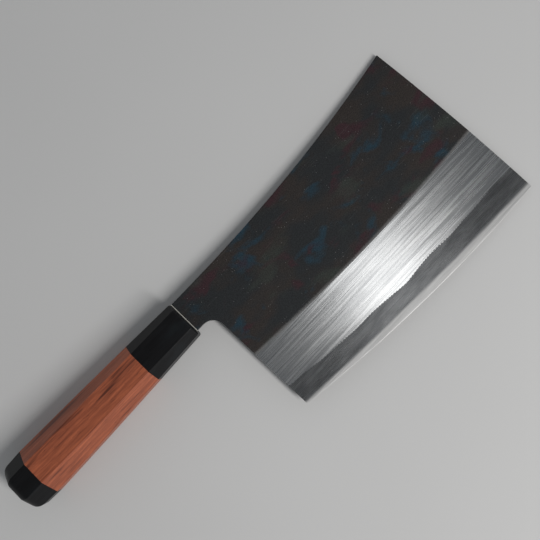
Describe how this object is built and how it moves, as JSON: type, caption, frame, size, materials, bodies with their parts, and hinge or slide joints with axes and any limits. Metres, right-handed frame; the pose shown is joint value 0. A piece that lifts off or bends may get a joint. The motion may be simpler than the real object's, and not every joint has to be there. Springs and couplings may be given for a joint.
{
  "type": "kitchen cleaver",
  "caption": "Tall rectangular three-layer kitchen cleaver blade with a ground bevel, on an eight-sided wooden handle with a dark ferrule and butt cap, for chopping and slicing.",
  "frame": {"origin": "centre of the ferrule's front face, on the handle's axis, halfway through the blade's thickness", "axes": "+X along the handle towards the blade's front end, +Y towards the spine (the cutting edge is towards -Y), +Z square to the blade's upper flat"},
  "size_m": [0.3218, 0.117, 0.025],
  "materials": {
    "core_steel": "polished hard steel, darker than the cladding",
    "cladding_steel": "forge scale on the flats, ground satin on the bevel",
    "resin": "clear setting resin",
    "dark_wood": "black dense wood, satin",
    "red_wood": "red-orange fine-grained wood, oiled",
    "pale_wood": "plain pale dowel wood"
  },
  "bodies": {
    "root": {"core_steel": "core_steel", "upper_cladding": "cladding_steel", "lower_cladding": "cladding_steel", "tang_bedding": "resin", "ferrule": "dark_wood", "grip": "red_wood", "butt_cap": "dark_wood", "front_dowel": "pale_wood", "rear_dowel": "pale_wood"}
  },
  "joints": []
}
